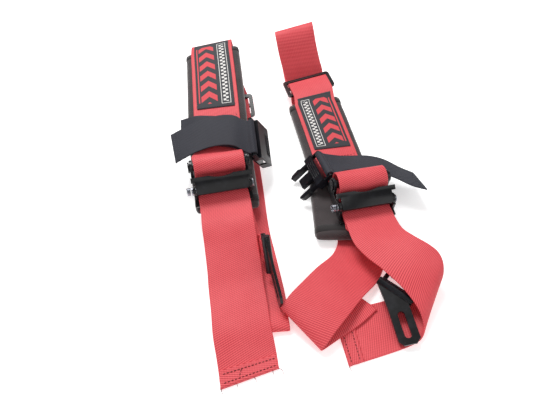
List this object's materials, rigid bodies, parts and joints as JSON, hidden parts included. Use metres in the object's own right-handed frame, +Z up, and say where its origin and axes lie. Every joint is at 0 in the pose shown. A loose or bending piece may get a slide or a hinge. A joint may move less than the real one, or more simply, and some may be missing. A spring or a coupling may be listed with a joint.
{
  "type": "racing harness",
  "caption": "Shoulder part of a racing harness: padded webbing straps with lever adjusters, slotted end links, three-bar slides and a side-release chest buckle, laid flat.",
  "frame": {"origin": "middle of the bounding box at the surface that the harness lies on", "axes": "+Y from the links towards the mounting loops, +Z up from the surface, +X to the right half"},
  "size_m": [0.2681, 0.4625, 0.0766],
  "materials": {
    "red_webbing": "woven polyester webbing with lengthwise ribs",
    "black_webbing": "woven nylon webbing",
    "pad_cloth": "woven nylon cloth",
    "pad_foam": "closed-cell foam",
    "binding": "grosgrain binding tape",
    "label": "woven label",
    "black_steel": "black powder coat",
    "bare_steel": "bright spring steel",
    "black_plastic": "moulded acetal"
  },
  "bodies": {
    "harness": {"left_pad_cover": "pad_cloth", "left_pad_foam": "pad_foam", "left_pad_ends": "binding", "left_label": "label", "left_rear_strap": "red_webbing", "left_tri_glide": "black_steel", "left_sternum_strap": "black_webbing", "left_adjuster_frame": "black_steel", "left_adjuster_bar": "black_steel", "left_lever_pin": "bare_steel", "left_lever_spring": "bare_steel", "left_front_strap": "red_webbing", "right_pad_cover": "pad_cloth", "right_pad_foam": "pad_foam", "right_pad_ends": "binding", "right_label": "label", "right_rear_strap": "red_webbing", "right_tri_glide": "black_steel", "right_sternum_strap": "black_webbing", "right_adjuster_frame": "black_steel", "right_adjuster_bar": "black_steel", "right_lever_pin": "bare_steel", "right_lever_spring": "bare_steel", "right_front_strap": "red_webbing"},
    "left_lever": {"left_lever": "black_steel"},
    "right_lever": {"right_lever": "black_steel"},
    "left_link": {"left_link_plate": "black_steel", "left_link_cover": "black_plastic"},
    "right_link": {"right_link_plate": "black_steel", "right_link_cover": "black_plastic"},
    "left_socket": {"left_socket": "black_plastic"},
    "right_plug": {"right_plug_body": "black_plastic"},
    "right_prong_upper": {"right_prong_upper": "black_plastic"},
    "right_prong_lower": {"right_prong_lower": "black_plastic"}
  },
  "joints": [
    {"name": "left_lever_hinge", "type": "hinge", "parent": "harness", "child": "left_lever", "pos_m": [-0.07344, -0.0431, 0.0413], "axis": [0.9744, 0.225, 0], "range_deg": [0, 60], "stiffness_Nm_per_rad": 0.02, "springref_deg": -34.38},
    {"name": "right_lever_hinge", "type": "hinge", "parent": "harness", "child": "right_lever", "pos_m": [0.06779, -0.05407, 0.02988], "axis": [0.9744, 0.225, 0], "range_deg": [0, 60], "stiffness_Nm_per_rad": 0.02, "springref_deg": -34.38},
    {"name": "left_link_hinge", "type": "hinge", "parent": "harness", "child": "left_link", "pos_m": [-0.031, -0.106, 0.021], "axis": [0.1349, -0.5247, -0.8405], "range_deg": [0, 10]},
    {"name": "right_link_hinge", "type": "hinge", "parent": "harness", "child": "right_link", "pos_m": [0.093, -0.137, 0.0165], "axis": [0.7737, -0.6319, -0.0459], "range_deg": [-7, 0]},
    {"name": "left_socket_swing", "type": "hinge", "parent": "harness", "child": "left_socket", "pos_m": [-0.046, 0.019, 0.053], "axis": [0.12, -0.8996, -0.4198], "range_deg": [0, 30]},
    {"name": "right_plug_swing", "type": "hinge", "parent": "harness", "child": "right_plug", "pos_m": [0.0295, -0.002, 0.034], "axis": [-0.2532, 0.9621, -0.1013], "range_deg": [0, 40]},
    {"name": "right_prong_upper_flex", "type": "hinge", "parent": "right_plug", "child": "right_prong_upper", "pos_m": [0.01588, 0.0104, 0.02289], "axis": [-0.6839, -0.104, 0.7221], "range_deg": [0, 7], "stiffness_Nm_per_rad": 0.05, "springref_deg": -2.86},
    {"name": "right_prong_lower_flex", "type": "hinge", "parent": "right_plug", "child": "right_prong_lower", "pos_m": [0.02423, -0.02135, 0.02623], "axis": [-0.6839, -0.104, 0.7221], "range_deg": [-7, 0], "stiffness_Nm_per_rad": 0.05, "springref_deg": 2.86}
  ]
}
